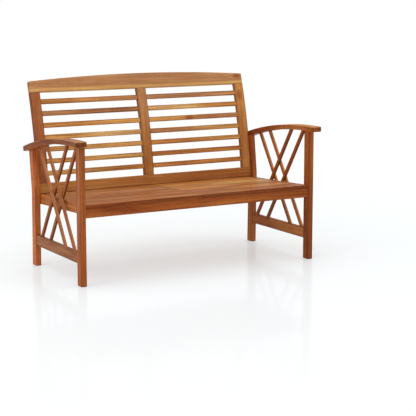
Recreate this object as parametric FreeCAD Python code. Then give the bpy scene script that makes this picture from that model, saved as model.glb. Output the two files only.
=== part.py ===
import FreeCAD
import Part
import math
import os

from FreeCAD import Vector, Rotation, Placement

# Two-seat garden bench in oiled hardwood: two latticed arm frames, a slatted
# seat panel and a slatted back panel, bolted together.
# Millimetres. X runs along the width, the front faces -Y, Z is up.
# The bench is built with the front faces of its front legs at y = 0 and is
# centred on its footprint at the very end.

# Arm frames: legs
width_over_legs = 1140.0
frame_depth = 520.0
leg_thick = 25.0
front_leg_depth = 40.0
rear_leg_depth = 40.0
rear_leg_bend_z = 335.0
rear_leg_foot_splay = 7.0
rear_leg_lean_deg = 7.1
rear_leg_bend_radius = 220.0
foot_chamfer = 3.0

# Arm frames: armrest
arm_apex_z = 600.0
arm_apex_y = 30.0
arm_radius = 1800.0
arm_thick = 22.0
arm_overhang_outside = 26.0
arm_overhang_front = 25.0
arm_overhang_rear = 6.0
arm_front_corner = 11.0
arm_rear_corner = 7.0
arm_edge_radius = 3.5

# Arm frames: side stretcher and lattice
stretcher_top_z = 139.0
stretcher_height = 47.0
lattice_bar_thick = 9.0
lattice_bar_width = 18.0
lattice_foot_near = 37.0
lattice_foot_far = 130.0
lattice_head_near = 17.5
lattice_housing = 8.0

# Seat panel, which slopes down to the rear
seat_front_y = 5.0
seat_front_z = 338.5
seat_tilt_deg = 2.5
rear_rail_behind_leg_face = 10.5
seat_slat_count = 5
seat_slat_gap = 8.0
seat_slat_thick = 14.0
seat_rail_thick = 22.0
seat_rail_height = 43.0
seat_bearer_width = 25.0
front_slat_joint = 1.0
front_apron_height = 41.0
front_apron_thick = 22.0
front_apron_setback = 1.0
rear_rail_thick = 23.0

# Back panel, whose stiles lean further back as they rise
back_radius = 2200.0
back_low_angle_deg = 4.9
back_thick = 20.0
back_seat_reveal = 2.0
bottom_rail_height = 46.0
back_opening = 401.0
side_stile_width = 47.0
centre_stile_width = 47.0
back_slat_count = 7
back_slat_height = 22.0
back_slat_thick = 12.0
back_slat_setback = 3.0
crest_end_height = 50.0
crest_rise = 20.0
crest_corner = 5.0

# Joinery
tenon_length = 12.0
tenon_shoulder = 5.0
slat_tenon_length = 10.0
slat_tenon_shoulder = 2.5
fit_clearance = 0.15
edge_radius = 2.5
slat_edge_radius = 2.0
bar_edge_radius = 1.5

# Joint bolts with barrel nuts, closed by flush wooden plugs
bolt_radius = 3.0
bolt_head_radius = 5.5
bolt_head_height = 3.5
bolt_length = 52.0
plug_thick = 5.0
plug_radius = 6.0
nut_radius = 5.0
nut_length = 14.0
nut_from_tip = 9.0
bolt_clearance = 0.3
apron_bolt_rise = 4.0
stile_bolt_low = 24.0
stile_bolt_high = 116.0
dowel_radius = 4.0
dowel_length = 30.0
dowel_in_leg = 12.0
dowel_below_bolt = 14.0

half_outer = width_over_legs / 2
half_inner = half_outer - leg_thick
back_low_angle = math.radians(back_low_angle_deg)
bottom_rail_s = bottom_rail_height
crest_s = bottom_rail_s + back_opening
stretcher_thick = 2 * lattice_bar_thick
stretcher_inset = (leg_thick - stretcher_thick) / 2
X_AXIS = Vector(1, 0, 0)
Y_AXIS = Vector(0, 1, 0)
Z_AXIS = Vector(0, 0, 1)
parts = {}


# Shapes


def box(x0, x1, y0, y1, z0, z1):
    return Part.makeBox(x1 - x0, y1 - y0, z1 - z0, Vector(x0, y0, z0))


def grown_box(x0, x1, y0, y1, z0, z1, by):
    return box(x0 - by, x1 + by, y0 - by, y1 + by, z0 - by, z1 + by)


def ease(shape, radius, direction):
    """Round the straight edges that run along one direction."""
    edges = []
    for edge in shape.Edges:
        if isinstance(edge.Curve, Part.Line) and abs(edge.Curve.Direction.dot(direction)) > 0.999:
            edges.append(edge)
    return shape.makeFillet(radius, edges)


def ease_long(shape, radius, shortest):
    """Round every edge longer than a given length."""
    edges = [edge for edge in shape.Edges if edge.Length > shortest]
    return shape.makeFillet(radius, edges)


def arc_edge(first, middle, last):
    return Part.Arc(first, middle, last).toShape()


def line_edge(first, last):
    return Part.LineSegment(first, last).toShape()


def side_prism(edges, x0, x1):
    """Push an outline that lies in the plane x = 0 out to x0..x1."""
    face = Part.Face(Part.Wire(edges))
    face.translate(Vector(x0, 0, 0))
    return face.extrude(Vector(x1 - x0, 0, 0))


def side_polygon(points, x0, x1):
    corners = [Vector(0, y, z) for y, z in points]
    edges = [line_edge(a, b) for a, b in zip(corners, corners[1:] + corners[:1])]
    return side_prism(edges, x0, x1)


def rod(radius, start, axis, length):
    return Part.makeCylinder(radius, length, start, axis)


def fused(shapes):
    body = shapes[0].fuse(shapes[1:]) if len(shapes) > 1 else shapes[0]
    return body.removeSplitter()


def mirrored(shape):
    return shape.mirror(Vector(0, 0, 0), X_AXIS)


# Arm frame geometry, for the right-hand frame


def arm_top_z(y, below=0.0):
    """Height of the armrest's arc at y, or of one concentric with it."""
    radius = arm_radius - below
    centre_z = arm_apex_z - arm_radius
    return centre_z + math.sqrt(radius ** 2 - (y - arm_apex_y) ** 2)


def rear_leg_faces(z):
    """Front and rear face of the rear leg at height z."""
    rear = frame_depth - rear_leg_foot_splay * min(z / rear_leg_bend_z, 1.0)
    if z > rear_leg_bend_z:
        rear += (z - rear_leg_bend_z) * math.tan(math.radians(rear_leg_lean_deg))
    return rear - rear_leg_depth, rear


# The rear rail sits within the depth of the rear legs, and the slats fill the run up to it.
seat_slat_run = (rear_leg_faces(rear_leg_bend_z)[0] + rear_rail_behind_leg_face - seat_front_y)
seat_slat_run /= math.cos(math.radians(seat_tilt_deg))
# Each lattice bar crosses from a foot near one leg to a head near the other leg.
lattice_rear_y = rear_leg_faces(stretcher_top_z)[0]
lattice_bay = lattice_rear_y - front_leg_depth
lattice_rise = arm_apex_z - arm_thick - stretcher_top_z
lattice_slope = math.atan((lattice_bay - lattice_foot_far - lattice_head_near) / lattice_rise)
arm_front_y = -arm_overhang_front
arm_rear_y = rear_leg_faces(arm_top_z(frame_depth, arm_thick))[1] + arm_overhang_rear


def under_arm(rise, floor_z, x0, x1):
    """The space between a level floor and the armrest's underside, raised by rise."""
    below = arm_thick - rise
    margin = 60.0
    y0 = arm_front_y - margin
    y1 = arm_rear_y + margin
    middle = (y0 + y1) / 2
    start = Vector(0, y0, arm_top_z(y0, below))
    end = Vector(0, y1, arm_top_z(y1, below))
    edges = [
        arc_edge(start, Vector(0, middle, arm_top_z(middle, below)), end),
        line_edge(end, Vector(0, y1, floor_z)),
        line_edge(Vector(0, y1, floor_z), Vector(0, y0, floor_z)),
        line_edge(Vector(0, y0, floor_z), start),
    ]
    return side_prism(edges, x0, x1)


def leg_outline(points):
    leg = side_polygon(points, half_inner, half_outer)
    return leg.common(under_arm(0.0, 0.0, half_inner, half_outer))


def chamfer_foot(leg):
    """Bevel the edges of a leg's square foot."""
    edges = [edge for edge in leg.Edges if abs(edge.BoundBox.ZMax) < 0.01]
    return leg.makeChamfer(foot_chamfer, edges)


def leg_tenon(front_y, rear_y, lean, grow=0.0):
    """Tenon on top of a leg, let into the armrest."""
    base_z = arm_top_z(front_y, arm_thick) - tenon_length * 2
    top_z = arm_top_z(arm_apex_y) + tenon_length
    shift = (top_z - base_z) * lean
    y0 = front_y + tenon_shoulder - grow
    y1 = rear_y - tenon_shoulder + grow
    points = [(y0, base_z), (y1, base_z), (y1 + shift, top_z), (y0 + shift, top_z)]
    x0 = half_inner + tenon_shoulder - grow
    x1 = half_outer - tenon_shoulder + grow
    post = side_polygon(points, x0, x1)
    return post.common(under_arm(tenon_length + grow, base_z, x0, x1))


def front_leg_tenon(grow=0.0):
    return leg_tenon(0.0, front_leg_depth, 0.0, grow)


def rear_leg_tenon(grow=0.0):
    lean = math.tan(math.radians(rear_leg_lean_deg))
    base_z = arm_top_z(rear_leg_faces(arm_apex_z)[0], arm_thick) - tenon_length * 2
    front, rear = rear_leg_faces(base_z)
    return leg_tenon(front, rear, lean, grow)


def stretcher_span():
    middle_z = stretcher_top_z - stretcher_height / 2
    return front_leg_depth, rear_leg_faces(middle_z)[0]


def stretcher_tenons(grow=0.0):
    y0, y1 = stretcher_span()
    x0 = half_inner + stretcher_inset + tenon_shoulder - grow
    x1 = half_outer - stretcher_inset - tenon_shoulder + grow
    z0 = stretcher_top_z - stretcher_height + tenon_shoulder - grow
    z1 = stretcher_top_z - tenon_shoulder + grow
    return box(x0, x1, y0 - tenon_length - grow, y1 + tenon_length + grow, z0, z1)


def side_stretcher():
    y0, y1 = stretcher_span()
    x0 = half_inner + stretcher_inset
    x1 = half_outer - stretcher_inset
    body = box(x0, x1, y0, y1 + rear_leg_foot_splay, stretcher_top_z - stretcher_height, stretcher_top_z)
    body = ease(body, edge_radius, Y_AXIS)
    return fused([body, stretcher_tenons()])


def lattice_bar(foot_y, leans_back, grow=0.0):
    """One lattice bar. The bars that lean back as they rise lie in the outer layer."""
    layer_x = half_inner + stretcher_inset + (lattice_bar_thick if leans_back else 0.0)
    half = lattice_bar_width / 2 + grow
    length = (arm_apex_z - stretcher_top_z) / math.cos(lattice_slope) + 4 * lattice_housing
    bar = box(layer_x - grow, layer_x + lattice_bar_thick + grow, -half, half, -length, length)
    if not grow:
        bar = ease(bar, bar_edge_radius, Z_AXIS)
    turn = math.degrees(-lattice_slope if leans_back else lattice_slope)
    bar.Placement = Placement(Vector(0, foot_y, stretcher_top_z), Rotation(X_AXIS, turn))
    bay = under_arm(lattice_housing + grow, stretcher_top_z - lattice_housing - grow,
                    half_inner - leg_thick, half_outer + leg_thick)
    return bar.common(bay)


def lattice_plan():
    """Name, foot position and lean of the four bars of one arm frame."""
    return [
        ("front_outer_lattice_bar", front_leg_depth + lattice_foot_near, True),
        ("rear_outer_lattice_bar", front_leg_depth + lattice_foot_far, True),
        ("front_inner_lattice_bar", lattice_rear_y - lattice_foot_far, False),
        ("rear_inner_lattice_bar", lattice_rear_y - lattice_foot_near, False),
    ]


def armrest():
    """A board bent to an arc, rounded in plan at its corners."""
    x0 = half_inner
    x1 = half_outer + arm_overhang_outside
    lower = arm_apex_z - arm_radius
    y0 = arm_front_y
    y1 = arm_rear_y
    middle = (y0 + y1) / 2
    edges = [
        arc_edge(Vector(0, y0, arm_top_z(y0)), Vector(0, middle, arm_top_z(middle)),
                 Vector(0, y1, arm_top_z(y1))),
        line_edge(Vector(0, y1, arm_top_z(y1)), Vector(0, y1, arm_top_z(y1, arm_thick))),
        arc_edge(Vector(0, y1, arm_top_z(y1, arm_thick)), Vector(0, middle, arm_top_z(middle, arm_thick)),
                 Vector(0, y0, arm_top_z(y0, arm_thick))),
        line_edge(Vector(0, y0, arm_top_z(y0, arm_thick)), Vector(0, y0, arm_top_z(y0))),
    ]
    board = side_prism(edges, x0, x1)
    front = [e for e in board.Edges if abs(e.BoundBox.YMax - y0) < 0.01 and e.BoundBox.ZLength > arm_thick / 2]
    board = board.makeFillet(arm_front_corner, front)
    rear = [e for e in board.Edges if abs(e.BoundBox.YMin - y1) < 0.01 and e.BoundBox.ZLength > arm_thick / 2]
    board = board.makeFillet(arm_rear_corner, rear)
    faces = [f for f in board.Faces if f.BoundBox.YLength > arm_rear_y / 2 and f.BoundBox.XLength > arm_thick]
    edges = [edge for face in faces for edge in face.Edges]
    return board.makeFillet(arm_edge_radius, edges)


def front_leg():
    points = [(0, 0), (front_leg_depth, 0), (front_leg_depth, arm_apex_z), (0, arm_apex_z)]
    leg = ease(chamfer_foot(leg_outline(points)), edge_radius, Z_AXIS)
    return fused([leg, front_leg_tenon()])


def rear_leg():
    low_front, low_rear = rear_leg_faces(0.0)
    bend_front, bend_rear = rear_leg_faces(rear_leg_bend_z)
    top_front, top_rear = rear_leg_faces(arm_apex_z)
    points = [
        (low_front, 0), (low_rear, 0), (bend_rear, rear_leg_bend_z), (top_rear, arm_apex_z),
        (top_front, arm_apex_z), (bend_front, rear_leg_bend_z),
    ]
    leg = leg_outline(points)
    bends = [e for e in leg.Edges if abs(e.BoundBox.ZMin - rear_leg_bend_z) < 0.01
             and e.BoundBox.ZLength < 0.01]
    leg = chamfer_foot(leg.makeFillet(rear_leg_bend_radius, bends))
    leg = ease_long(leg, edge_radius, leg_thick + rear_leg_depth)
    return fused([leg, rear_leg_tenon()])


# Back panel geometry. s is the distance along the stiles' curved front face,
# from the seat upwards, and depth is measured rearwards from that face.


def seat_point(along, up=0.0):
    """Place of a point of the seat panel, from its front top edge."""
    tilt = math.radians(seat_tilt_deg)
    y = seat_front_y + along * math.cos(tilt) + up * math.sin(tilt)
    z = seat_front_z - along * math.sin(tilt) + up * math.cos(tilt)
    return y, z


back_foot_y, back_foot_z = seat_point(seat_slat_run + back_seat_reveal)


def back_angle(s):
    return back_low_angle + s / back_radius


def back_point(s, depth=0.0):
    angle = back_angle(s)
    centre_y = back_foot_y + back_radius * math.cos(back_low_angle)
    centre_z = back_foot_z - back_radius * math.sin(back_low_angle)
    radius = back_radius - depth
    return Vector(0, centre_y - radius * math.cos(angle), centre_z + radius * math.sin(angle))


def on_back(shape, s):
    """Move a shape from local axes (x, depth, up the back) to its place at s."""
    turned = shape.copy()
    turned.Placement = Placement(back_point(s), Rotation(X_AXIS, -math.degrees(back_angle(s))))
    return turned


def stile_body(x0, x1):
    middle = (bottom_rail_s + crest_s) / 2
    front = arc_edge(back_point(bottom_rail_s), back_point(middle), back_point(crest_s))
    rear = arc_edge(back_point(crest_s, back_thick), back_point(middle, back_thick),
                    back_point(bottom_rail_s, back_thick))
    top = line_edge(back_point(crest_s), back_point(crest_s, back_thick))
    foot = line_edge(back_point(bottom_rail_s, back_thick), back_point(bottom_rail_s))
    return ease_long(side_prism([front, top, rear, foot], x0, x1), edge_radius, back_opening / 2)


def stile_tenon(x0, x1, s, grow=0.0):
    """Tenon through the joint line at s, half of it inside the stile."""
    tenon = grown_box(x0 + tenon_shoulder, x1 - tenon_shoulder, tenon_shoulder,
                      back_thick - tenon_shoulder, -tenon_length, tenon_length, grow)
    return on_back(tenon, s)


def slat_levels():
    gap = (back_opening - back_slat_count * back_slat_height) / (back_slat_count + 1)
    first = bottom_rail_s + gap + back_slat_height / 2
    return [first + i * (gap + back_slat_height) for i in range(back_slat_count)]


def slat_tenons(x0, x1, s, grow=0.0):
    edge = back_slat_height / 2 - slat_tenon_shoulder
    y0 = back_slat_setback + slat_tenon_shoulder
    y1 = back_slat_setback + back_slat_thick - slat_tenon_shoulder
    tenon = grown_box(x0 - slat_tenon_length, x1 + slat_tenon_length, y0, y1, -edge, edge, grow)
    return on_back(tenon, s)


def back_slat(x0, x1, s):
    half = back_slat_height / 2
    body = box(x0, x1, back_slat_setback, back_slat_setback + back_slat_thick, -half, half)
    return fused([on_back(ease(body, slat_edge_radius, X_AXIS), s), slat_tenons(x0, x1, s)])


def stile_spans():
    half_centre = centre_stile_width / 2
    return {
        "left_stile": (-half_inner, side_stile_width - half_inner),
        "centre_stile": (-half_centre, half_centre),
        "right_stile": (half_inner - side_stile_width, half_inner),
    }


def slat_spans():
    spans = stile_spans()
    return {
        "left": (spans["left_stile"][1], spans["centre_stile"][0]),
        "right": (spans["centre_stile"][1], spans["right_stile"][0]),
    }


def crest_rail():
    """Straight lower edge and an arched top, across the whole back."""
    w = half_inner
    start = Vector(-w, 0, crest_end_height)
    end = Vector(w, 0, crest_end_height)
    outline = [
        line_edge(Vector(-w, 0, 0), Vector(w, 0, 0)),
        line_edge(Vector(w, 0, 0), end),
        arc_edge(end, Vector(0, 0, crest_end_height + crest_rise), start),
        line_edge(start, Vector(-w, 0, 0)),
    ]
    body = Part.Face(Part.Wire(outline)).extrude(Vector(0, back_thick, 0))
    corners = [e for e in body.Edges if abs(e.BoundBox.ZMin - crest_end_height) < 0.01
               and e.BoundBox.YLength > back_thick / 2 and e.BoundBox.XLength < 0.01]
    body = body.makeFillet(crest_corner, corners)
    body = ease_long(body, edge_radius, half_inner)
    return on_back(body, crest_s)


def seat_half_space(above):
    """A large block on one side of the seat's top surface."""
    reach = width_over_legs
    z0, z1 = (0.0, reach) if above else (-reach, 0.0)
    return on_seat(box(-reach, reach, -reach, reach, z0, z1))


def back_bottom_rail():
    body = box(-half_inner, half_inner, 0, back_thick, -bottom_rail_height * 1.5, 0)
    body = on_back(ease(body, edge_radius, X_AXIS), bottom_rail_s)
    return body.common(seat_half_space(True))


# Seat panel, in local axes: x, distance behind the front edge, height from the top


def on_seat(shape):
    placed = shape.copy()
    turn = Rotation(X_AXIS, -seat_tilt_deg)
    placed.Placement = Placement(Vector(0, seat_front_y, seat_front_z), turn)
    return placed


def seat_slat_spans():
    width = (seat_slat_run - seat_slat_gap * seat_slat_count) / seat_slat_count
    pitch = width + seat_slat_gap
    return [(i * pitch, i * pitch + width) for i in range(seat_slat_count)]


def seat_board(x0, x1, y0, y1):
    return ease(box(x0, x1, y0, y1, -seat_slat_thick, 0), slat_edge_radius, X_AXIS)


def front_slat_spans():
    """The front slats lie over the ends of the rails and meet above the bearer."""
    half_joint = front_slat_joint / 2
    return {"left": (-half_inner, -half_joint), "right": (half_joint, half_inner)}


def seat_slat_tenons(x0, x1, y0, y1, grow=0.0):
    edge = 2 * slat_tenon_shoulder
    return grown_box(x0 - slat_tenon_length, x1 + slat_tenon_length, y0 + edge, y1 - edge,
                     slat_tenon_shoulder - seat_slat_thick, -slat_tenon_shoulder, grow)


def front_apron():
    """Board under the front slat, across the whole seat."""
    y0 = front_apron_setback
    z1 = -seat_slat_thick
    body = box(-half_inner, half_inner, y0, y0 + front_apron_thick, z1 - front_apron_height, z1)
    return ease(body, edge_radius, X_AXIS)


def rear_rail():
    """Board behind the last slat, which carries the back panel."""
    body = box(-half_inner, half_inner, seat_slat_run, seat_slat_run + rear_rail_thick,
               -seat_rail_height, 0)
    return ease(body, edge_radius, X_AXIS)


def long_rail(x0, x1):
    """Front-to-back member between apron and rear rail, with a seat for the front slat."""
    start = front_apron_setback + front_apron_thick
    body = ease(box(x0, x1, start, seat_slat_run, -seat_rail_height, 0), edge_radius, Y_AXIS)
    slat_rear = seat_slat_spans()[0][1] + fit_clearance
    slat_seat = box(x0, x1, start, slat_rear, -seat_slat_thick, seat_slat_thick)
    return fused([body.cut(slat_seat)] + rail_tenons(x0, x1))


def rail_tenons(x0, x1, grow=0.0):
    """Tenons at both ends of a front-to-back member, half of each inside the member."""
    tenons = []
    for joint_y in (front_apron_setback + front_apron_thick, seat_slat_run):
        tenons.append(grown_box(
            x0 + tenon_shoulder, x1 - tenon_shoulder, joint_y - tenon_length, joint_y + tenon_length,
            tenon_shoulder - seat_rail_height, -seat_slat_thick - tenon_shoulder, grow))
    return tenons


def long_rail_spans():
    half_bearer = seat_bearer_width / 2
    return {
        "left_seat_rail": (-half_inner, seat_rail_thick - half_inner),
        "seat_centre_bearer": (-half_bearer, half_bearer),
        "right_seat_rail": (half_inner - seat_rail_thick, half_inner),
    }


def seat_halves():
    spans = long_rail_spans()
    return {
        "left": (spans["left_seat_rail"][1], spans["seat_centre_bearer"][0]),
        "right": (spans["seat_centre_bearer"][1], spans["right_seat_rail"][0]),
    }


# Joint bolts, for the right-hand side


def seat_bolt_place(along, up):
    y, z = seat_point(along, up)
    return Vector(half_outer, y, z)


def stile_bolt_place(s):
    point = back_point(s, back_thick / 2)
    return Vector(half_outer, point.y, point.z)


front_bolt = seat_bolt_place(front_apron_setback + front_apron_thick / 2,
                             apron_bolt_rise - seat_slat_thick - front_apron_height / 2)
rear_bolt = seat_bolt_place(seat_slat_run + rear_rail_thick / 2, apron_bolt_rise - seat_rail_height / 2)
bolt_places = [
    ("apron", front_bolt),
    ("apron", rear_bolt),
    ("stile", stile_bolt_place(bottom_rail_s + stile_bolt_low)),
    ("stile", stile_bolt_place(bottom_rail_s + stile_bolt_high)),
]
tip_x = half_outer - plug_thick - bolt_head_height - bolt_length
nut_x = tip_x + nut_from_tip


def bolt(place):
    head = rod(bolt_head_radius, Vector(half_outer - plug_thick - bolt_head_height, place.y, place.z),
               X_AXIS, bolt_head_height)
    shank = rod(bolt_radius, Vector(tip_x, place.y, place.z), X_AXIS, bolt_length)
    return fused([head, shank])


def bolt_hole(place):
    """Clearance hole for the shank, with a counterbore for the head and its plug."""
    bore = rod(bolt_radius + bolt_clearance, Vector(tip_x - bolt_clearance, place.y, place.z),
               X_AXIS, half_outer - tip_x)
    depth = plug_thick + bolt_head_height
    sink = rod(plug_radius, Vector(half_outer - depth, place.y, place.z), X_AXIS, depth + 1)
    return bore.fuse(sink)


def plug(place):
    return rod(plug_radius, Vector(half_outer - plug_thick, place.y, place.z), X_AXIS, plug_thick)


def nut_axis(kind):
    """Barrel nuts cross the aprons from below and the stiles from behind."""
    if kind == "apron":
        return on_seat_direction(Z_AXIS)
    return Rotation(X_AXIS, -math.degrees(back_angle(bottom_rail_s))).multVec(Y_AXIS)


def on_seat_direction(direction):
    return Rotation(X_AXIS, -seat_tilt_deg).multVec(direction)


def barrel_nut(kind, place):
    axis = nut_axis(kind)
    start = Vector(nut_x, place.y, place.z) - axis * (nut_length / 2)
    drum = rod(nut_radius, start, axis, nut_length)
    thread = rod(bolt_radius, Vector(tip_x - 1, place.y, place.z), X_AXIS, bolt_length)
    return drum.cut(thread)


def nut_hole(kind, place):
    """Blind hole that the barrel nut is dropped into."""
    axis = nut_axis(kind)
    open_end = -1 if kind == "apron" else 1
    start = Vector(nut_x, place.y, place.z) - axis * (open_end * nut_length / 2)
    return rod(nut_radius + fit_clearance, start, axis * open_end, nut_length * 3)


def dowel(place, grow=0.0):
    x0 = half_inner - (dowel_length - dowel_in_leg) - grow
    start = Vector(x0, place.y, place.z) - on_seat_direction(Z_AXIS) * dowel_below_bolt
    return rod(dowel_radius + grow, start, X_AXIS, dowel_length + 2 * grow)


def drill(shape, side):
    """Cut every bolt, nut and dowel hole of one side out of a shape."""
    tools = []
    for kind, place in bolt_places:
        tools.append(bolt_hole(place))
        tools.append(nut_hole(kind, place))
    for place in (front_bolt, rear_bolt):
        tools.append(dowel(place, fit_clearance))
    for tool in tools:
        shape = shape.cut(tool if side == "right" else mirrored(tool))
    return shape


# Assembly


def make_arm_frames():
    pieces = {}
    plan = lattice_plan()
    foot_cuts = stretcher_tenons(fit_clearance)
    rest = armrest()
    rest = rest.cut(front_leg_tenon(fit_clearance)).cut(rear_leg_tenon(fit_clearance))
    stretcher = side_stretcher()
    stretcher = stretcher.cut(rear_leg_solid_below())
    for name, foot_y, leans_back in plan:
        pieces[name] = lattice_bar(foot_y, leans_back)
        housing = lattice_bar(foot_y, leans_back, fit_clearance)
        rest = rest.cut(housing)
        stretcher = stretcher.cut(housing)
    pieces["armrest"] = rest
    pieces["side_stretcher"] = stretcher
    pieces["front_leg"] = drill(front_leg().cut(foot_cuts), "right")
    pieces["rear_leg"] = drill(rear_leg().cut(foot_cuts), "right")
    for name, shape in pieces.items():
        parts["right_" + name] = shape
        parts["left_" + name] = mirrored(shape)


def rear_leg_solid_below():
    """The rear leg's straight lower stretch, with the tenon's room left open."""
    low_front, low_rear = rear_leg_faces(0.0)
    bend_front, bend_rear = rear_leg_faces(rear_leg_bend_z)
    points = [(low_front, 0), (low_rear, 0), (bend_rear, rear_leg_bend_z), (bend_front, rear_leg_bend_z)]
    return side_polygon(points, half_inner, half_outer).cut(stretcher_tenons())


def make_back():
    stiles = stile_spans()
    crest = crest_rail()
    rail = back_bottom_rail()
    for name, (x0, x1) in stiles.items():
        crest = crest.cut(stile_tenon(x0, x1, crest_s, fit_clearance))
        rail = rail.cut(stile_tenon(x0, x1, bottom_rail_s, fit_clearance))
        tenons = [stile_tenon(x0, x1, crest_s), stile_tenon(x0, x1, bottom_rail_s)]
        stile = fused([stile_body(x0, x1)] + tenons)
        for s in slat_levels():
            for side, (slat_x0, slat_x1) in slat_spans().items():
                stile = stile.cut(slat_tenons(slat_x0, slat_x1, s, fit_clearance))
        parts[name] = stile
    parts["right_stile"] = drill(parts["right_stile"], "right")
    parts["left_stile"] = drill(parts["left_stile"], "left")
    parts["crest_rail"] = crest
    parts["back_bottom_rail"] = rail
    for side, (x0, x1) in slat_spans().items():
        for number, s in enumerate(reversed(slat_levels()), 1):
            parts["%s_back_slat_%d" % (side, number)] = back_slat(x0, x1, s)


def make_seat():
    rails = long_rail_spans()
    front_place, *tenoned_places = seat_slat_spans()
    apron = front_apron()
    rear = rear_rail()
    for name, (x0, x1) in rails.items():
        for hole in rail_tenons(x0, x1, fit_clearance):
            apron = apron.cut(hole)
            rear = rear.cut(hole)
        rail = long_rail(x0, x1)
        for slat_x0, slat_x1 in seat_halves().values():
            for y0, y1 in tenoned_places:
                rail = rail.cut(seat_slat_tenons(slat_x0, slat_x1, y0, y1, fit_clearance))
        parts[name] = on_seat(rail)
    for side in ("left", "right"):
        parts[side + "_seat_rail"] = drill(parts[side + "_seat_rail"], side)
    for name, shape in (("front_apron", on_seat(apron)), ("rear_seat_rail", on_seat(rear))):
        parts[name] = drill(drill(shape, "right"), "left")
    for side, (x0, x1) in front_slat_spans().items():
        parts[side + "_seat_slat_1"] = on_seat(seat_board(x0, x1, *front_place))
    for side, (x0, x1) in seat_halves().items():
        for number, (y0, y1) in enumerate(tenoned_places, 2):
            slat = fused([seat_board(x0, x1, y0, y1), seat_slat_tenons(x0, x1, y0, y1)])
            parts["%s_seat_slat_%d" % (side, number)] = on_seat(slat)


def make_fasteners():
    bolts = [bolt(place) for kind, place in bolt_places]
    nuts = [barrel_nut(kind, place) for kind, place in bolt_places]
    plugs = [plug(place) for kind, place in bolt_places]
    dowels = [dowel(place) for place in (front_bolt, rear_bolt)]
    groups = {"joint_bolts": bolts, "barrel_nuts": nuts, "bolt_plugs": plugs, "locating_dowels": dowels}
    for name, shapes in groups.items():
        parts[name] = Part.makeCompound(shapes + [mirrored(shape) for shape in shapes])


def centre_on_footprint():
    box_all = Part.makeCompound(list(parts.values())).BoundBox
    shift = Vector(-box_all.Center.x, -box_all.Center.y, -box_all.ZMin)
    for shape in parts.values():
        shape.translate(shift)
    return shift


def export_parts():
    os.makedirs("parts", exist_ok=True)
    for name, shape in parts.items():
        shape.exportStep(os.path.join("parts", name + ".step"))


make_arm_frames()
make_back()
make_seat()
make_fasteners()
moved = centre_on_footprint()
export_parts()
whole = Part.makeCompound(list(parts.values())).BoundBox
print("pieces", len(parts), "solids", sum(len(shape.Solids) for shape in parts.values()))
print("size %.1f x %.1f x %.1f" % (whole.XLength, whole.YLength, whole.ZLength), "moved", moved)
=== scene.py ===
import math

import bpy
from mathutils import Matrix, Vector


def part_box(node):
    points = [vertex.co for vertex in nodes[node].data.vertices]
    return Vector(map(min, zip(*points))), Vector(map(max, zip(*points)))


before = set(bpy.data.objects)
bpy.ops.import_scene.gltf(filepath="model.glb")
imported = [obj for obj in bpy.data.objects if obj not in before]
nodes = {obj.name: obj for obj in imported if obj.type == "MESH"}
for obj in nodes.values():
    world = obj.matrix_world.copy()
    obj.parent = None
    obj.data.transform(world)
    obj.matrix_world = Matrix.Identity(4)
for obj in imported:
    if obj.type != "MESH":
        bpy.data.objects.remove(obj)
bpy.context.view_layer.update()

# Two-seat garden bench in oiled acacia. Metres, X along the width, the front faces -Y, Z is up.

MM = 0.001
X_AXIS = Vector((1, 0, 0))
Y_AXIS = Vector((0, 1, 0))
Z_AXIS = Vector((0, 0, 1))

# Tilts of the pieces, in degrees
SEAT_TILT = 2.5
BACK_LEAN = 11.0
TOP_SLAT_LEAN = 15.45
SLAT_LEAN_STEP = 1.38
REAR_LEG_LEAN = 3.5
LATTICE_SLOPE = 33.4

# Tones of oiled acacia, from its pale sapwood to its darkest heartwood
STRAW = "#CDA46F"
HONEY = "#C4955C"
GOLD = "#C08A50"
ROSE = "#B07E5C"
OCHRE = "#B67B43"
AMBER = "#B8793F"
FAWN = "#AE7A52"
CLAY = "#A6704A"
RUSSET = "#A36634"
SIENNA = "#AA5F31"
TAWNY = "#9E5D2E"
SORREL = "#975833"
WALNUT = "#8C5A3A"
CEDAR = "#93532B"
CHESTNUT = "#8D4A1F"
UMBER = "#7C3E19"

# Tints, which multiply the red, green and blue of a tone
NO_TINT = (1.0, 1.0, 1.0)
KNOT_TINT = (0.66, 0.48, 0.40)
END_GRAIN_TINT = (0.72, 0.62, 0.56)
# Arrises: pale where they face up, as wear and painted highlight, and dark where they face sideways or
# down, as painted shade
SHADED_ARRIS = (0.60, 0.50, 0.42)
WORN_AND_LIT_ARRIS = (1.18, 1.22, 1.25)
# Painted shade along the long edges of a board's broad faces
RIM_SHADE = (0.50, 0.38, 0.30)

# Tints of all of a board that isn't a broad face: a painted highlight on the outer lattice bars, and
# painted shade on the inner bars, the stiles, the seat slats and the armrests
BAR_EDGE_HIGHLIGHT = (1.50, 2.00, 2.80)
BAR_EDGE_SHADE = (0.70, 0.60, 0.50)
STILE_EDGE_SHADE = (0.52, 0.41, 0.33)
SEAT_EDGE_SHADE = (0.46, 0.32, 0.30)
ARMREST_EDGE_SHADES = {"left": (0.47, 0.32, 0.24), "right": (0.64, 0.46, 0.33)}

# Noise of each pattern in the wood: length along the grain and width across it in millimetres,
# detail, distortion and seed. Real vessels are 0.2 mm wide: the pores are drawn coarse enough
# to show.
PATTERNS = {
    "swirl": (420.0, 70.0, 2.0, 0.4, 0.0),
    "figure": (360.0, 16.0, 3.0, 0.6, 5.0),
    "streaks": (230.0, 4.0, 2.0, 0.3, 10.0),
    "pores": (24.0, 1.3, 1.0, 0.0, 20.0),
    "hue": (170.0, 45.0, 2.0, 0.0, 30.0),
    "curl": (14.0, 60.0, 1.0, 0.0, 40.0),
}

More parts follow.
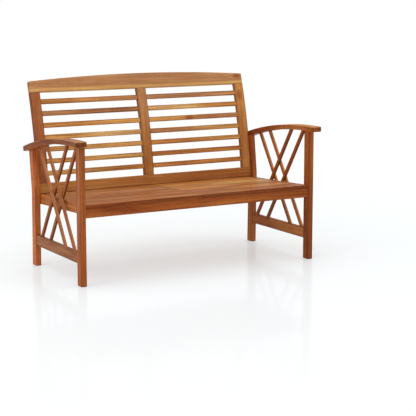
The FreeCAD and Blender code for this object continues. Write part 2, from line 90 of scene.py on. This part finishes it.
# What each pattern does to the tone: a low and a high level, and the tints at these
PATTERN_TINTS = {
    "hue": (0.30, 0.70, (1.05, 1.09, 1.05), (1.03, 0.95, 0.88)),
    "swirl": (0.30, 0.68, (0.90, 0.86, 0.82), (1.12, 1.16, 1.14)),
    "figure": (0.32, 0.66, (0.80, 0.73, 0.64), (1.19, 1.25, 1.24)),
    "rings": (0.0, 1.0, (1.07, 1.09, 1.08), (0.82, 0.74, 0.68)),
    "streaks": (0.34, 0.56, (0.74, 0.65, 0.57), (1.12, 1.15, 1.13)),
    "curl": (0.35, 0.65, (0.96, 0.96, 0.96), (1.05, 1.05, 1.05)),
    "pores": (0.30, 0.46, (0.78, 0.72, 0.68), (1.03, 1.03, 1.03)),
}

# Sizes in the wood, in millimetres
RING_MM = 7.5
RING_WAVE_MM = 34.0
# A low band of another tone along a board's lower edge: sapwood on the crest rail, painted shade on the
# back's bottom rail
LOW_BAND_WAVE_MM = 8.0
LOW_BAND_BLUR_MM = 3.0
KNOT_CORE_MM = 2.0
KNOT_REACH_MM = 45.0
RIM_MM = 6.0
RELIEF_MM = 0.25
ZINC_MOTTLE_MM = 2.0

# Weights of the distances along, across and through a board, so that a knot is drawn out along
# the grain and the growth rings run almost beside it
KNOT_SHAPE = (0.55, 1.0, 0.0)
RING_SHAPE = (0.035, 1.0, 1.0)

# How far the grain opens round the middle of a knot, as a share of the distance
KNOT_BEND = 0.5

WOOD_SPECULAR = 0.12
WHITE = (1.0, 1.0, 1.0, 1.0)

# Settings that several nodes share. The Mix node numbers its colour inputs 6 and 7, and its
# colour output 2.
FADE = {"interpolation_type": "SMOOTHSTEP"}
BLEND = {"data_type": "RGBA", "clamp_result": False}
MULTIPLY = {**BLEND, "blend_type": "MULTIPLY"}
MIX_A = 6
MIX_B = 7
MIX_COLOUR = 2


def linear(code):
    """An sRGB hex colour as the linear RGBA of a shader socket."""
    channels = [int(code[i:i + 2], 16) / 255 for i in (1, 3, 5)]
    curved = [c / 12.92 if c <= 0.04045 else ((c + 0.055) / 1.055) ** 2.4 for c in channels]
    return (*curved, 1.0)


def add_node(tree, kind, settings, links):
    """Add a node. A setting goes to the input of that name or number, or to the node itself."""
    node = tree.nodes.new(kind)
    for key, value in settings.items():
        if isinstance(key, int) or key in node.inputs:
            node.inputs[key].default_value = value
        else:
            setattr(node, key, value)
    for key, source in links.items():
        tree.links.new(source, node.inputs[key])
    return node


def new_material(name):
    material = bpy.data.materials.new(name)
    material.use_nodes = True
    material.node_tree.nodes.clear()
    return material, material.node_tree


# Wood


def board_axes(tree, given, point):
    """Measure along, across and through the board, and how squarely its surface faces each way."""
    through = add_node(tree, "ShaderNodeVectorMath", {"operation": "CROSS_PRODUCT"}, {
        0: given["Along"], 1: given["Across"]}).outputs["Vector"]
    offset = add_node(tree, "ShaderNodeVectorMath", {"operation": "SUBTRACT"}, {
        0: point["Object"], 1: given["Origin"]}).outputs["Vector"]
    measured, facing = [], []
    for axis in (given["Along"], given["Across"], through):
        measured.append(add_node(tree, "ShaderNodeVectorMath", {"operation": "DOT_PRODUCT"}, {
            0: offset, 1: axis}).outputs["Value"])
        tilt = add_node(tree, "ShaderNodeVectorMath", {"operation": "DOT_PRODUCT"}, {
            0: point["Normal"], 1: axis})
        facing.append(add_node(tree, "ShaderNodeMath", {"operation": "ABSOLUTE"}, {
            0: tilt.outputs["Value"]}).outputs["Value"])
    return measured, facing


def bent_round_knot(tree, given, measured):
    """The place in a grain that bends round the knot, and how far it is from the knot."""
    straight = add_node(tree, "ShaderNodeCombineXYZ", {}, dict(enumerate(measured)))
    from_knot = add_node(tree, "ShaderNodeVectorMath", {"operation": "SUBTRACT"}, {
        0: straight.outputs["Vector"], 1: given["Knot"]})
    oval = add_node(tree, "ShaderNodeVectorMath", {"operation": "MULTIPLY", 1: KNOT_SHAPE}, {
        0: from_knot.outputs["Vector"]})
    distance = add_node(tree, "ShaderNodeVectorMath", {"operation": "LENGTH"}, {
        0: oval.outputs["Vector"]}).outputs["Value"]
    bend = add_node(tree, "ShaderNodeMapRange", {
        **FADE, "From Max": KNOT_REACH_MM * MM, "To Min": KNOT_BEND, "To Max": 0.0},
        {"Value": distance})
    push = add_node(tree, "ShaderNodeVectorMath", {"operation": "SCALE"}, {
        0: from_knot.outputs["Vector"], "Scale": bend.outputs["Result"]})
    place = add_node(tree, "ShaderNodeVectorMath", {"operation": "SUBTRACT"}, {
        0: straight.outputs["Vector"], 1: push.outputs["Vector"]})
    return place.outputs["Vector"], distance


def grain_noise(tree, place, seed, length_mm, width_mm, detail, distortion, own_seed):
    """Noise drawn out along the grain, as patches of a given length and width."""
    patch = (length_mm * MM, width_mm * MM, width_mm * MM)
    stretched = add_node(tree, "ShaderNodeVectorMath", {"operation": "DIVIDE", 1: patch}, {0: place})
    moment = add_node(tree, "ShaderNodeMath", {"operation": "ADD", 1: own_seed}, {0: seed})
    return add_node(tree, "ShaderNodeTexNoise", {
        "noise_dimensions": "4D", "Scale": 1.0, "Detail": detail, "Distortion": distortion,
    }, {"Vector": stretched.outputs["Vector"], "W": moment.outputs["Value"]}).outputs["Fac"]


def growth_rings(tree, place, pith, swirl, hue):
    """Rings round a pith that lies beside the board, with 1 in their dark late wood."""
    from_pith = add_node(tree, "ShaderNodeVectorMath", {"operation": "SUBTRACT"}, {0: place, 1: pith})
    drawn_out = add_node(tree, "ShaderNodeVectorMath", {"operation": "MULTIPLY", 1: RING_SHAPE}, {
        0: from_pith.outputs["Vector"]})
    radius = add_node(tree, "ShaderNodeVectorMath", {"operation": "LENGTH"}, {
        0: drawn_out.outputs["Vector"]})
    wavy = add_node(tree, "ShaderNodeMath", {"operation": "MULTIPLY_ADD", 1: RING_WAVE_MM * MM}, {
        0: swirl, 2: radius.outputs["Value"]})
    ring = add_node(tree, "ShaderNodeMath", {"operation": "PINGPONG", 1: RING_MM * MM / 2}, {
        0: wavy.outputs["Value"]})
    late = add_node(tree, "ShaderNodeMapRange", {
        **FADE, "From Min": 0.1 * RING_MM * MM, "From Max": 0.5 * RING_MM * MM},
        {"Value": ring.outputs["Value"]})
    strength = add_node(tree, "ShaderNodeMapRange", {
        **FADE, "From Min": 0.35, "From Max": 0.65, "To Min": 0.25}, {"Value": hue})
    return add_node(tree, "ShaderNodeMath", {"operation": "MULTIPLY"}, {
        0: late.outputs["Result"], 1: strength.outputs["Result"]}).outputs["Value"]


def board_tone(tree, given, measured, hue):
    """The tone drifts from the board's first end to its last. Below a wavy line across the
    board lies a band of another tone: pale outer wood on the crest rail, painted shade on the back's
    bottom rail."""
    share = add_node(tree, "ShaderNodeMath", {"operation": "DIVIDE"}, {
        0: measured[0], 1: given["Length"]})
    uneven = add_node(tree, "ShaderNodeMath", {"operation": "MULTIPLY_ADD", 1: 0.5}, {
        0: hue, 2: share.outputs["Value"]})
    drift = add_node(tree, "ShaderNodeMapRange", {
        **FADE, "From Min": 0.5, "From Max": 1.0}, {"Value": uneven.outputs["Value"]})
    heartwood = add_node(tree, "ShaderNodeMix", BLEND, {
        0: drift.outputs["Result"], MIX_A: given["First tone"], MIX_B: given["Last tone"]})
    wavy = add_node(tree, "ShaderNodeMath", {"operation": "MULTIPLY_ADD", 1: -LOW_BAND_WAVE_MM * MM}, {
        0: hue, 2: measured[1]})
    above = add_node(tree, "ShaderNodeMath", {"operation": "SUBTRACT"}, {
        0: wavy.outputs["Value"], 1: given["Low band"]})
    above_low_band = add_node(tree, "ShaderNodeMapRange", {
        **FADE, "From Min": -LOW_BAND_BLUR_MM * MM, "From Max": LOW_BAND_BLUR_MM * MM},
        {"Value": above.outputs["Value"]})
    return add_node(tree, "ShaderNodeMix", BLEND, {
        0: above_low_band.outputs["Result"], MIX_A: given["Low band tone"],
        MIX_B: heartwood.outputs[MIX_COLOUR]}).outputs[MIX_COLOUR]


def tinted(tree, colour, value, low, high, at_low, at_high):
    """Multiply a colour by a tint that changes as a value goes from low to high."""
    level = add_node(tree, "ShaderNodeMapRange", {
        **FADE, "From Min": low, "From Max": high}, {"Value": value})
    tint = add_node(tree, "ShaderNodeMix", {
        **BLEND, MIX_A: (*at_low, 1.0), MIX_B: (*at_high, 1.0)}, {0: level.outputs["Result"]})
    return add_node(tree, "ShaderNodeMix", {**MULTIPLY, 0: 1.0}, {
        MIX_A: colour, MIX_B: tint.outputs[MIX_COLOUR]}).outputs[MIX_COLOUR]


def with_shaded_rims(tree, colour, given, measured, facing):
    """Painted shade darkens the broad faces along their long edges."""
    from_low_edge = add_node(tree, "ShaderNodeMath", {"operation": "SUBTRACT"}, {
        0: measured[1], 1: given["Low edge"]})
    from_edge = add_node(tree, "ShaderNodeMath", {"operation": "PINGPONG"}, {
        0: from_low_edge.outputs["Value"], 1: given["Half width"]})
    off_rim = add_node(tree, "ShaderNodeMapRange", {
        **FADE, "From Max": RIM_MM * MM}, {"Value": from_edge.outputs["Value"]})
    off_broad_face = add_node(tree, "ShaderNodeMapRange", {
        **FADE, "From Min": 0.75, "From Max": 0.95, "To Min": 1.0, "To Max": 0.0},
        {"Value": facing[2]})
    rimless = add_node(tree, "ShaderNodeMath", {"operation": "MAXIMUM"}, {
        0: off_rim.outputs["Result"], 1: off_broad_face.outputs["Result"]})
    rim = add_node(tree, "ShaderNodeMix", {**BLEND, MIX_B: WHITE}, {
        0: rimless.outputs["Value"], MIX_A: given["Rim tint"]})
    return add_node(tree, "ShaderNodeMix", {**MULTIPLY, 0: 1.0}, {
        MIX_A: colour, MIX_B: rim.outputs[MIX_COLOUR]}).outputs[MIX_COLOUR]


def with_arrises(tree, colour, normal, facing):
    """Arrises that face up are made pale, as wear and painted highlight; the others are darkened with
    painted shade.
    """
    height = add_node(tree, "ShaderNodeSeparateXYZ", {}, {0: normal})
    worn_and_lit_level = add_node(tree, "ShaderNodeMapRange", {
        **FADE, "From Min": -0.2, "From Max": 0.6}, {"Value": height.outputs["Z"]})
    arris = add_node(tree, "ShaderNodeMix", {
        **BLEND, MIX_A: (*SHADED_ARRIS, 1.0), MIX_B: (*WORN_AND_LIT_ARRIS, 1.0)},
        {0: worn_and_lit_level.outputs["Result"]})
    on_end_or_edge = add_node(tree, "ShaderNodeMath", {"operation": "MAXIMUM"}, {
        0: facing[0], 1: facing[1]})
    squareness = add_node(tree, "ShaderNodeMath", {"operation": "MAXIMUM"}, {
        0: on_end_or_edge.outputs["Value"], 1: facing[2]})
    on_arris = add_node(tree, "ShaderNodeMapRange", {
        **FADE, "From Min": 0.75, "From Max": 0.93, "To Min": 1.0, "To Max": 0.0},
        {"Value": squareness.outputs["Value"]})
    return add_node(tree, "ShaderNodeMix", MULTIPLY, {
        0: on_arris.outputs["Result"], MIX_A: colour,
        MIX_B: arris.outputs[MIX_COLOUR]}).outputs[MIX_COLOUR]


def with_edge_light_and_shade(tree, colour, given, facing):
    """All that isn't a broad face takes the board's edge tint, which paints a highlight on some boards
    and shade on others.
    """
    on_edge = add_node(tree, "ShaderNodeMapRange", {
        **FADE, "From Min": 0.31, "From Max": 0.66, "To Min": 1.0, "To Max": 0.0},
        {"Value": facing[2]})
    return add_node(tree, "ShaderNodeMix", MULTIPLY, {
        0: on_edge.outputs["Result"], MIX_A: colour,
        MIX_B: given["Edge tint"]}).outputs[MIX_COLOUR]


def acacia_group():
    """Acacia sawn, planed and oiled. The eye gets a strong swirling figure between yellow and
    red browns, growth rings, short dark pores and dark end grain. Arrises facing up are pale as
    wear and painted highlight, the other arrises and the rims carry painted shade, and each
    board's edges take its tint of painted light and shade."""
    tree = bpy.data.node_groups.new("oiled_acacia", "ShaderNodeTree")
    inputs = {
        "Vector": ("Origin", "Along", "Across", "Pith", "Knot"),
        "Float": ("Length", "Seed", "Low band", "Plainness", "Low edge", "Half width", "Knot size"),
        "Color": ("First tone", "Last tone", "Low band tone", "Edge tint", "Rim tint"),
    }
    for kind, names in inputs.items():
        for name in names:
            tree.interface.new_socket(name, in_out="INPUT", socket_type="NodeSocket" + kind)
    for name, kind in (("Colour", "Color"), ("Roughness", "Float"), ("Relief", "Vector")):
        tree.interface.new_socket(name, in_out="OUTPUT", socket_type="NodeSocket" + kind)
    given = add_node(tree, "NodeGroupInput", {}, {}).outputs
    point = add_node(tree, "ShaderNodeTexCoord", {}, {}).outputs
    measured, facing = board_axes(tree, given, point)
    place, from_knot = bent_round_knot(tree, given, measured)

    patterns = {}
    for name, sizes in PATTERNS.items():
        patterns[name] = grain_noise(tree, place, given["Seed"], *sizes)
    patterns["rings"] = growth_rings(tree, place, given["Pith"], patterns["swirl"], patterns["hue"])

    tone = board_tone(tree, given, measured, patterns["hue"])
    colour = tone
    for name, tint in PATTERN_TINTS.items():
        colour = tinted(tree, colour, patterns[name], *tint)
    colour = add_node(tree, "ShaderNodeMix", BLEND, {
        0: given["Plainness"], MIX_A: colour, MIX_B: tone}).outputs[MIX_COLOUR]
    off_knot = add_node(tree, "ShaderNodeMapRange", {**FADE, "From Min": KNOT_CORE_MM * MM}, {
        "Value": from_knot, "From Max": given["Knot size"]}).outputs["Result"]
    colour = tinted(tree, colour, off_knot, 0.0, 1.0, KNOT_TINT, NO_TINT)
    colour = tinted(tree, colour, facing[0], 0.60, 0.95, NO_TINT, END_GRAIN_TINT)
    colour = with_shaded_rims(tree, colour, given, measured, facing)
    colour = with_arrises(tree, colour, point["Normal"], facing)
    colour = with_edge_light_and_shade(tree, colour, given, facing)

    roughness = add_node(tree, "ShaderNodeMapRange", {
        **FADE, "From Min": 0.3, "From Max": 0.7, "To Min": 0.56, "To Max": 0.44},
        {"Value": patterns["figure"]})
    relief = add_node(tree, "ShaderNodeMath", {"operation": "MULTIPLY_ADD", 1: 0.5}, {
        0: patterns["pores"], 2: patterns["streaks"]})
    bump = add_node(tree, "ShaderNodeBump", {"Strength": 0.35, "Distance": RELIEF_MM * MM}, {
        "Height": relief.outputs["Value"]})
    add_node(tree, "NodeGroupOutput", {}, {
        "Colour": colour, "Roughness": roughness.outputs["Result"], "Relief": bump.outputs["Normal"]})
    return tree


ACACIA = acacia_group()


def zinc_plated_steel():
    """Turned steel with a bright zinc coat: grey-white, with a faint mottle from the plating."""
    material, tree = new_material("zinc_plated_steel")
    coordinates = add_node(tree, "ShaderNodeTexCoord", {}, {})
    mottle = add_node(tree, "ShaderNodeTexNoise", {"Scale": 1 / (ZINC_MOTTLE_MM * MM), "Detail": 2.0}, {
        "Vector": coordinates.outputs["Object"]}).outputs["Fac"]
    zinc = add_node(tree, "ShaderNodeMix", {
        **BLEND, MIX_A: linear("#AEB0B0"), MIX_B: linear("#D2D3D0")}, {0: mottle})
    dullness = add_node(tree, "ShaderNodeMapRange", {
        **FADE, "From Min": 0.3, "From Max": 0.7, "To Min": 0.32, "To Max": 0.45}, {"Value": mottle})
    shader = add_node(tree, "ShaderNodeBsdfPrincipled", {"Metallic": 1.0}, {
        "Base Color": zinc.outputs[MIX_COLOUR], "Roughness": dullness.outputs["Result"]})
    add_node(tree, "ShaderNodeOutputMaterial", {}, {"Surface": shader.outputs["BSDF"]})
    return material


# Pieces

# Places on a board are measured along, across and through it from its origin.
NO_KNOT = (-1.0, 0.0, 0.0)
ARMREST_KNOTS = {"left": NO_KNOT, "right": (4 * MM, 48 * MM, 0.0)}
CREST_KNOT = (1062 * MM, 44 * MM, 0.0)
STILE_KNOTS = {"left": NO_KNOT, "centre": NO_KNOT, "right": (360 * MM, 20 * MM, 0.0)}
STILE_KNOT_SIZE = 24 * MM
SLAT_KNOT = (220 * MM, 12 * MM, 0.0)
KNOTTED_SLAT = ("right", 3)
NO_SAPWOOD = -1.0
CREST_SAPWOOD = 17 * MM

# Tones of each board's first and last end
ARM_FRAME_TONES = {
    "left": {
        "front_leg": (CHESTNUT, CEDAR), "rear_leg": (SIENNA, SIENNA), "armrest": (CLAY, TAWNY),
        "stretcher": (WALNUT, WALNUT), "outer_bars": (CEDAR, CEDAR), "inner_bars": (CHESTNUT, CEDAR),
    },
    "right": {
        "front_leg": (UMBER, CHESTNUT), "rear_leg": (TAWNY, CHESTNUT), "armrest": (OCHRE, TAWNY),
        "stretcher": (RUSSET, TAWNY), "outer_bars": (TAWNY, TAWNY), "inner_bars": (CHESTNUT, CHESTNUT),
    },
}
STILE_TONES = {"left": (SORREL, SORREL), "centre": (RUSSET, CLAY), "right": (OCHRE, OCHRE)}
BACK_SLAT_TONES = {
    "left": [(OCHRE, CLAY), (FAWN, WALNUT), (OCHRE, GOLD), (GOLD, STRAW), (HONEY, GOLD),
             (GOLD, HONEY), (STRAW, OCHRE)],
    "right": [(ROSE, CLAY), (STRAW, OCHRE), (GOLD, CLAY), (CLAY, HONEY), (OCHRE, GOLD),
              (RUSSET, RUSSET), (OCHRE, OCHRE)],
}
SEAT_SLAT_TONES = {
    "left": [(TAWNY, RUSSET), (RUSSET, TAWNY), (TAWNY, RUSSET), (RUSSET, CLAY), (CLAY, RUSSET)],
    "right": [(RUSSET, TAWNY), (TAWNY, AMBER), (AMBER, RUSSET), (OCHRE, HONEY), (AMBER, AMBER)],
}


def turned(vector, degrees):
    """A direction turned round the bench's width."""
    return Matrix.Rotation(math.radians(degrees), 3, "X") @ vector


def paint(node, material):
    for material_slot in nodes[node].material_slots:
        material_slot.material = material


def board(node, along, across, tones, edge=NO_TINT, rim=RIM_SHADE, knot=NO_KNOT, knot_size=20 * MM,
          low_band=NO_SAPWOOD, low_band_tone=HONEY, plainness=0.2):
    """Give a CAD board its own piece of wood, with the grain along one direction. The low band is the
    height that it reaches across the board, and plainness is how far the figure is held back."""
    low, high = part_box(node)
    length = sum(abs(a) * size for a, size in zip(along, high - low))
    origin = Vector([start if a >= 0 else end for a, start, end in zip(along, low, high)])
    # A height across a board is measured from its lowest point.
    if across.z > 0.9:
        origin.z = low.z
    heights = [across.dot(vertex.co - origin) for vertex in nodes[node].data.vertices]
    low_edge, high_edge = min(heights), max(heights)
    # Each board comes from its own place in the tree.
    number = sorted(nodes).index(node)
    side = 1 if number % 2 else -1
    pith = (length * (0.37 * number % 1.0), side * (35 + 9 * (number % 5)) * MM,
            (30 + 7 * (number % 7)) * MM)
    material, tree = new_material("acacia_" + node)
    wood = add_node(tree, "ShaderNodeGroup", {
        "node_tree": ACACIA, "Origin": origin, "Along": along, "Across": across, "Length": length,
        "Pith": pith, "Seed": 1.0 + 3.7 * number, "Knot": knot, "Knot size": knot_size,
        "First tone": linear(tones[0]), "Last tone": linear(tones[1]), "Plainness": plainness,
        "Low band": low_band, "Low band tone": linear(low_band_tone), "Edge tint": (*edge, 1.0),
        "Rim tint": (*rim, 1.0), "Low edge": low_edge, "Half width": (high_edge - low_edge) / 2,
    }, {}).outputs
    shader = add_node(tree, "ShaderNodeBsdfPrincipled", {"Specular IOR Level": WOOD_SPECULAR}, {
        "Base Color": wood["Colour"], "Roughness": wood["Roughness"], "Normal": wood["Relief"]})
    add_node(tree, "ShaderNodeOutputMaterial", {}, {"Surface": shader.outputs["BSDF"]})
    paint(node, material)


BACK_UP = turned(Z_AXIS, -BACK_LEAN)
SEAT_BACKWARDS = turned(Y_AXIS, -SEAT_TILT)
REAR_LEG_UP = turned(Z_AXIS, -REAR_LEG_LEAN)
OUTER_BARS_UP = turned(Z_AXIS, -LATTICE_SLOPE)
INNER_BARS_UP = turned(Z_AXIS, LATTICE_SLOPE)


def dress_arm_frames():
    for side, tones in ARM_FRAME_TONES.items():
        board(side + "_front_leg", Z_AXIS, Y_AXIS, tones["front_leg"])
        board(side + "_rear_leg", REAR_LEG_UP, Y_AXIS, tones["rear_leg"])
        # The armrests' sides take painted shade, the outer bars' edges a painted highlight and the
        # inner bars' edges painted shade.
        board(side + "_armrest", Y_AXIS, X_AXIS, tones["armrest"], edge=ARMREST_EDGE_SHADES[side],
              rim=NO_TINT, knot=ARMREST_KNOTS[side])
        board(side + "_side_stretcher", Y_AXIS, Z_AXIS, tones["stretcher"])
        for place in ("front", "rear"):
            board("%s_%s_outer_lattice_bar" % (side, place), OUTER_BARS_UP,
                  OUTER_BARS_UP.cross(X_AXIS), tones["outer_bars"], edge=BAR_EDGE_HIGHLIGHT)
            board("%s_%s_inner_lattice_bar" % (side, place), INNER_BARS_UP,
                  INNER_BARS_UP.cross(X_AXIS), tones["inner_bars"], edge=BAR_EDGE_SHADE)


def dress_back():
    board("crest_rail", X_AXIS, BACK_UP, (FAWN, FAWN), knot=CREST_KNOT, low_band=CREST_SAPWOOD,
          plainness=0.55)
    # Its lower edge is dark: the low band there is painted shade where the rail meets the seat.
    board("back_bottom_rail", X_AXIS, BACK_UP, (OCHRE, RUSSET), rim=NO_TINT, low_band=0.0,
          low_band_tone=UMBER, plainness=0.5)
    for place, tones in STILE_TONES.items():
        # The stiles' sides take painted shade.
        board(place + "_stile", BACK_UP, X_AXIS, tones, edge=STILE_EDGE_SHADE, knot=STILE_KNOTS[place],
              knot_size=STILE_KNOT_SIZE, plainness=0.4)
    for side, slats in BACK_SLAT_TONES.items():
        for number, tones in enumerate(slats, 1):
            slat_up = turned(Z_AXIS, -(TOP_SLAT_LEAN - SLAT_LEAN_STEP * (number - 1)))
            board("%s_back_slat_%d" % (side, number), X_AXIS, slat_up, tones,
                  knot=SLAT_KNOT if (side, number) == KNOTTED_SLAT else NO_KNOT)


def dress_seat():
    board("left_seat_rail", SEAT_BACKWARDS, Z_AXIS, (TAWNY, TAWNY))
    board("right_seat_rail", SEAT_BACKWARDS, Z_AXIS, (CEDAR, CHESTNUT))
    board("seat_centre_bearer", SEAT_BACKWARDS, X_AXIS, (RUSSET, RUSSET))
    board("front_apron", X_AXIS, Z_AXIS, (CHESTNUT, CHESTNUT))
    board("rear_seat_rail", X_AXIS, Z_AXIS, (CEDAR, TAWNY))
    for side, slats in SEAT_SLAT_TONES.items():
        for number, tones in enumerate(slats, 1):
            # The seat slats' front and back faces take painted shade.
            board("%s_seat_slat_%d" % (side, number), X_AXIS, SEAT_BACKWARDS, tones,
                  edge=SEAT_EDGE_SHADE, rim=NO_TINT)


def dress_fasteners():
    steel = zinc_plated_steel()
    paint("joint_bolts", steel)
    paint("barrel_nuts", steel)
    board("bolt_plugs", Z_AXIS, Y_AXIS, (CHESTNUT, CEDAR))
    board("locating_dowels", X_AXIS, Y_AXIS, (STRAW, STRAW))


# Floor, light and camera

FLOOR_HALF = 9.0
FLOOR_BOUNCE = 0.92
FLOOR_TONE = "#CCD1D3"
FLOOR_LIFT = 0.405
FLOOR_GLOSS = 0.14
FLOOR_ROUGHNESS = 0.14
FADE_NEAR = 1.0
FADE_FAR = 2.6
WORLD_STRENGTH = 0.9

# Place, size and power of each softbox
SOFTBOXES = {
    "key_softbox": ((-1.6, -4.2, 3.4), (2.4, 1.8), 22.0),
    "side_softbox": ((-4.0, -0.6, 2.2), (2.0, 1.6), 26.0),
    "top_softbox": ((0.6, 0.4, 4.2), (3.0, 2.0), 12.0),
}
LAMP_AIM = Vector((0, 0, 0.45))

# The camera sees the bench from its front left corner.
CAMERA_PLACE = (-2.6955, -5.0040, 1.2068)
CAMERA_YAW = 30.003
CAMERA_PITCH = 9.674
CAMERA_LENS = 111.74
CAMERA_SENSOR = 36.0


def white_ray(tree):
    """1 for the rays that show a backdrop: the camera's, reflected and transmitted ones."""
    path = add_node(tree, "ShaderNodeLightPath", {}, {}).outputs
    both = add_node(tree, "ShaderNodeMath", {"operation": "MAXIMUM"}, {
        0: path["Is Camera Ray"], 1: path["Is Glossy Ray"]})
    return add_node(tree, "ShaderNodeMath", {"operation": "MAXIMUM"}, {
        0: both.outputs["Value"], 1: path["Is Transmission Ray"]}).outputs["Value"]


def floor_paint():
    """White studio floor, matt with a faint gloss that mirrors the feet. It keeps the soft shadow
    near the bench and fades to white."""
    material, tree = new_material("white_studio_floor")
    coordinates = add_node(tree, "ShaderNodeTexCoord", {}, {})
    distance = add_node(tree, "ShaderNodeVectorMath", {"operation": "LENGTH"}, {
        0: coordinates.outputs["Object"]})
    fade = add_node(tree, "ShaderNodeMapRange", {
        **FADE, "From Min": FADE_NEAR, "From Max": FADE_FAR}, {"Value": distance.outputs["Value"]})
    bounce = add_node(tree, "ShaderNodeBsdfDiffuse", {"Color": (*[FLOOR_BOUNCE] * 3, 1.0)}, {})
    lit = add_node(tree, "ShaderNodeBsdfDiffuse", {"Color": linear(FLOOR_TONE)}, {})
    lift = add_node(tree, "ShaderNodeEmission", {"Strength": FLOOR_LIFT}, {})
    lifted = add_node(tree, "ShaderNodeAddShader", {}, {
        0: lit.outputs["BSDF"], 1: lift.outputs["Emission"]})
    gloss = add_node(tree, "ShaderNodeBsdfAnisotropic", {"Roughness": FLOOR_ROUGHNESS}, {})
    glossed = add_node(tree, "ShaderNodeMixShader", {0: FLOOR_GLOSS}, {
        1: lifted.outputs["Shader"], 2: gloss.outputs["BSDF"]})
    white = add_node(tree, "ShaderNodeEmission", {"Strength": 1.0}, {})
    seen = add_node(tree, "ShaderNodeMixShader", {}, {
        0: fade.outputs["Result"], 1: glossed.outputs["Shader"], 2: white.outputs["Emission"]})
    shader = add_node(tree, "ShaderNodeMixShader", {}, {
        0: white_ray(tree), 1: bounce.outputs["BSDF"], 2: seen.outputs["Shader"]})
    add_node(tree, "ShaderNodeOutputMaterial", {}, {"Surface": shader.outputs["Shader"]})
    return material


def make_floor():
    corners = [(-1, -1), (1, -1), (1, 1), (-1, 1)]
    mesh = bpy.data.meshes.new("studio_floor")
    mesh.from_pydata([(x * FLOOR_HALF, y * FLOOR_HALF, 0.0) for x, y in corners], [], [(0, 1, 2, 3)])
    mesh.materials.append(floor_paint())
    floor = bpy.data.objects.new("studio_floor", mesh)
    bpy.context.scene.collection.objects.link(floor)


def make_world():
    """A studio that is white where it is seen, and a little dimmer as the light on the bench."""
    world = bpy.data.worlds.new("studio")
    world.use_nodes = True
    tree = world.node_tree
    tree.nodes.clear()
    ambient = add_node(tree, "ShaderNodeBackground", {"Color": WHITE, "Strength": WORLD_STRENGTH}, {})
    backdrop = add_node(tree, "ShaderNodeBackground", {"Color": WHITE, "Strength": 1.0}, {})
    both = add_node(tree, "ShaderNodeMixShader", {}, {
        0: white_ray(tree), 1: ambient.outputs["Background"], 2: backdrop.outputs["Background"]})
    add_node(tree, "ShaderNodeOutputWorld", {}, {"Surface": both.outputs["Shader"]})
    bpy.context.scene.world = world


def make_softboxes():
    for name, (place, size, power) in SOFTBOXES.items():
        lamp = bpy.data.lights.new(name, "AREA")
        lamp.shape = "RECTANGLE"
        lamp.size, lamp.size_y = size
        lamp.energy = power
        holder = bpy.data.objects.new(name, lamp)
        holder.location = place
        holder.rotation_euler = (LAMP_AIM - Vector(place)).to_track_quat("-Z", "Y").to_euler()
        bpy.context.scene.collection.objects.link(holder)


def make_camera():
    camera = bpy.data.cameras.new("camera")
    camera.lens = CAMERA_LENS
    camera.sensor_width = CAMERA_SENSOR
    holder = bpy.data.objects.new("camera", camera)
    holder.location = CAMERA_PLACE
    holder.rotation_euler = (math.radians(90 - CAMERA_PITCH), 0, math.radians(-CAMERA_YAW))
    bpy.context.scene.collection.objects.link(holder)
    bpy.context.scene.camera = holder


dress_arm_frames()
dress_back()
dress_seat()
dress_fasteners()
make_floor()
make_world()
make_softboxes()
make_camera()
bpy.context.scene.view_settings.view_transform = "Standard"
